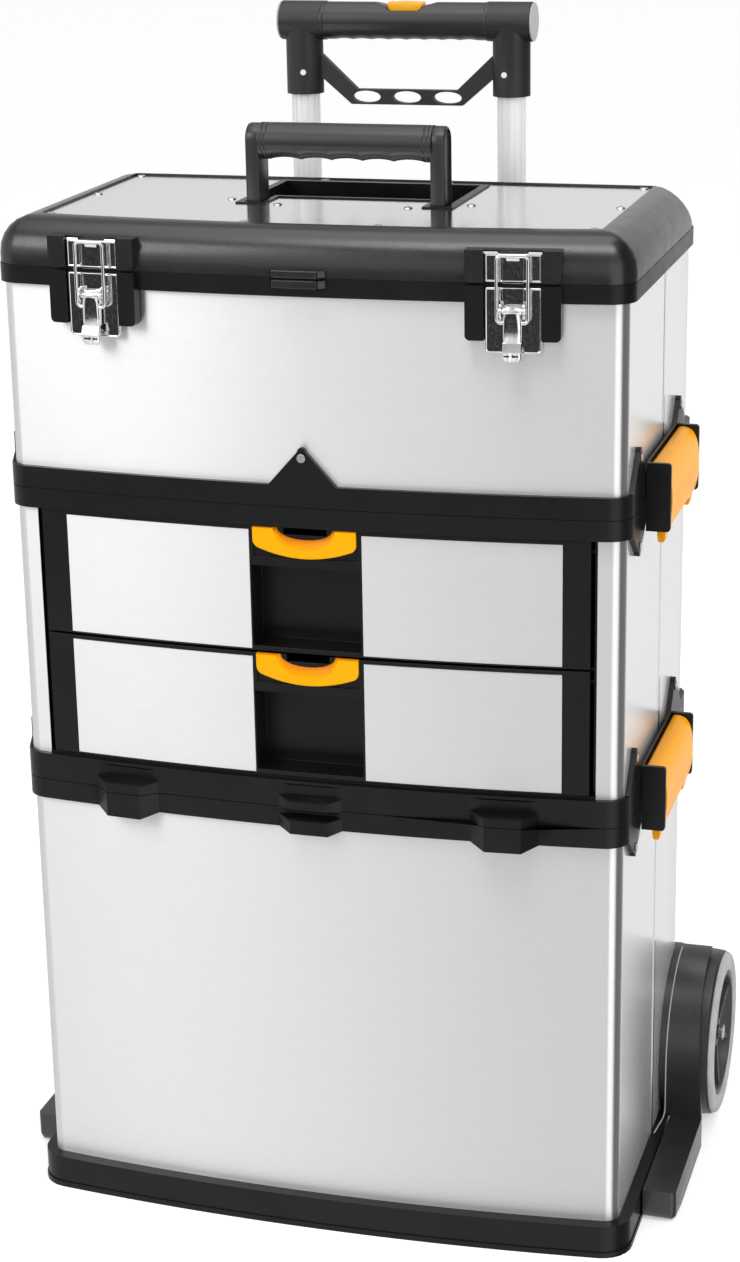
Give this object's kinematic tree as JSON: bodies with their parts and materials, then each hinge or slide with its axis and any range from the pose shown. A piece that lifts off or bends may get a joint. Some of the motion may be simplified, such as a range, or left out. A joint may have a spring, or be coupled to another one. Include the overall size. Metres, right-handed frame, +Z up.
{
  "type": "rolling tool box with drawers",
  "caption": "Three-tier steel and plastic tool box: wheeled bin, drawer unit and lift-off top box, with side clips, front latches, carry handle and telescopic trolley handle.",
  "frame": {"origin": "middle of the flat underside of the base, on the floor", "axes": "+Z up, -Y towards the bowed front with the drawers, +X to the right seen from the front"},
  "size_m": [0.6056, 0.3813, 1.0082],
  "materials": {
    "black_plastic": "fine-grained moulded plastic",
    "sheet_steel": "brushed stainless sheet",
    "chrome": "bright plating",
    "zinc_steel": "zinc plated",
    "tube_aluminium": "satin anodised",
    "yellow_plastic": "satin",
    "tyre": "hard rubber",
    "grey_plastic": "satin"
  },
  "bodies": {
    "bin": {"bin_base": "black_plastic", "bin_front_wall": "sheet_steel", "bin_back_wall": "sheet_steel", "bin_rim": "black_plastic", "bin_rivets": "zinc_steel", "wheel_guard_left": "black_plastic", "wheel_guard_right": "black_plastic", "axle_bolts": "zinc_steel", "axle_blocks": "black_plastic", "tube_brackets": "black_plastic", "fixed_tubes": "zinc_steel"},
    "wheel_left": {"tyre_left": "tyre", "wheel_hub_left": "black_plastic"},
    "wheel_right": {"tyre_right": "tyre", "wheel_hub_right": "black_plastic"},
    "trolley_handle": {"sliding_tubes": "tube_aluminium", "tube_bushes": "grey_plastic", "handle_tees": "black_plastic", "handle_grip": "black_plastic", "handle_end_caps": "grey_plastic", "handle_brace": "black_plastic", "tee_pins": "zinc_steel"},
    "release": {"release_button": "yellow_plastic", "release_rods": "zinc_steel"},
    "drawer_unit": {"unit_base": "black_plastic", "unit_rim": "black_plastic", "unit_wall": "sheet_steel", "unit_runners": "black_plastic", "unit_fasteners": "zinc_steel", "unit_clip_frames": "black_plastic"},
    "unit_clip_lever_left": {"unit_clip_left": "yellow_plastic"},
    "unit_clip_lever_right": {"unit_clip_right": "yellow_plastic"},
    "upper_drawer": {"drawer_upper": "black_plastic", "drawer_upper_plates": "sheet_steel", "drawer_upper_pull": "yellow_plastic"},
    "lower_drawer": {"drawer_lower": "black_plastic", "drawer_lower_plates": "sheet_steel", "drawer_lower_pull": "yellow_plastic"},
    "top_box": {"box_base": "black_plastic", "box_front_wall": "sheet_steel", "box_back_wall": "sheet_steel", "box_rim": "black_plastic", "box_fasteners": "zinc_steel", "box_clip_frames": "black_plastic", "latch_plates": "chrome", "box_hinges": "zinc_steel"},
    "box_clip_lever_left": {"box_clip_left": "yellow_plastic"},
    "box_clip_lever_right": {"box_clip_right": "yellow_plastic"},
    "lever_left": {"latch_lever_left": "chrome"},
    "lever_right": {"latch_lever_right": "chrome"},
    "bail_left": {"latch_bail_left": "chrome"},
    "bail_right": {"latch_bail_right": "chrome"},
    "lid": {"lid_hinges": "zinc_steel", "lid_frame": "black_plastic", "lid_plate": "sheet_steel", "lid_screws": "zinc_steel", "latch_keepers": "chrome", "handle_tray": "black_plastic"},
    "carry_handle": {"carry_handle": "black_plastic", "handle_pins": "zinc_steel"}
  },
  "joints": [
    {"name": "wheel_left_spin", "type": "hinge", "parent": "bin", "child": "wheel_left", "pos_m": [-0.2853, 0.136, 0.0769], "axis": [1, 0, 0], "continuous": true},
    {"name": "wheel_right_spin", "type": "hinge", "parent": "bin", "child": "wheel_right", "pos_m": [0.2853, 0.136, 0.0769], "axis": [1, 0, 0], "continuous": true},
    {"name": "trolley_slide", "type": "slide", "parent": "bin", "child": "trolley_handle", "axis": [0, 0, 1], "range_m": [-0.09, 0.12]},
    {"name": "release_press", "type": "slide", "parent": "trolley_handle", "child": "release", "axis": [0, 0, -1], "range_m": [0, 0.004], "stiffness_N_per_m": 600, "springref_m": -0.012},
    {"name": "unit_lift", "type": "slide", "parent": "bin", "child": "drawer_unit", "axis": [0, 0, 1], "range_m": [0, 0.1]},
    {"name": "upper_drawer_slide", "type": "slide", "parent": "drawer_unit", "child": "upper_drawer", "axis": [0, -1, 0], "range_m": [0, 0.22]},
    {"name": "lower_drawer_slide", "type": "slide", "parent": "drawer_unit", "child": "lower_drawer", "axis": [0, -1, 0], "range_m": [0, 0.22]},
    {"name": "box_lift", "type": "slide", "parent": "drawer_unit", "child": "top_box", "axis": [0, 0, 1], "range_m": [0, 0.1]},
    {"name": "lid_hinge", "type": "hinge", "parent": "top_box", "child": "lid", "pos_m": [0, 0.1486, 0.8273], "axis": [-1, 0, 0], "range_deg": [0, 50]},
    {"name": "carry_handle_fold", "type": "hinge", "parent": "lid", "child": "carry_handle", "pos_m": [0, -0.017, 0.853], "axis": [-1, 0, 0], "range_deg": [0, 90]},
    {"name": "unit_clip_left_hinge", "type": "hinge", "parent": "drawer_unit", "child": "unit_clip_lever_left", "pos_m": [-0.2645, -0.009, 0.4144], "axis": [0, 1, 0], "range_deg": [0, 100]},
    {"name": "box_clip_left_hinge", "type": "hinge", "parent": "top_box", "child": "box_clip_lever_left", "pos_m": [-0.2645, -0.009, 0.6703], "axis": [0, 1, 0], "range_deg": [0, 100]},
    {"name": "latch_left_lever", "type": "hinge", "parent": "top_box", "child": "lever_left", "pos_m": [-0.17069, -0.16375, 0.808], "axis": [-0.9968, 0.0802, 0], "range_deg": [0, 150]},
    {"name": "latch_left_bail", "type": "hinge", "parent": "lever_left", "child": "bail_left", "pos_m": [-0.17061, -0.16275, 0.8], "axis": [-0.9968, 0.0802, 0], "range_deg": [-150, 0]},
    {"name": "unit_clip_right_hinge", "type": "hinge", "parent": "drawer_unit", "child": "unit_clip_lever_right", "pos_m": [0.2645, -0.009, 0.4144], "axis": [0, -1, 0], "range_deg": [0, 100]},
    {"name": "box_clip_right_hinge", "type": "hinge", "parent": "top_box", "child": "box_clip_lever_right", "pos_m": [0.2645, -0.009, 0.6703], "axis": [0, -1, 0], "range_deg": [0, 100]},
    {"name": "latch_right_lever", "type": "hinge", "parent": "top_box", "child": "lever_right", "pos_m": [0.17069, -0.16375, 0.808], "axis": [-0.9968, -0.0802, 0], "range_deg": [0, 150]},
    {"name": "latch_right_bail", "type": "hinge", "parent": "lever_right", "child": "bail_right", "pos_m": [0.17061, -0.16275, 0.8], "axis": [-0.9968, -0.0802, 0], "range_deg": [-150, 0]}
  ],
  "couplings": [
    {"joint": "latch_left_bail", "follows": "latch_left_lever", "ratio": -1},
    {"joint": "latch_right_bail", "follows": "latch_right_lever", "ratio": -1}
  ]
}
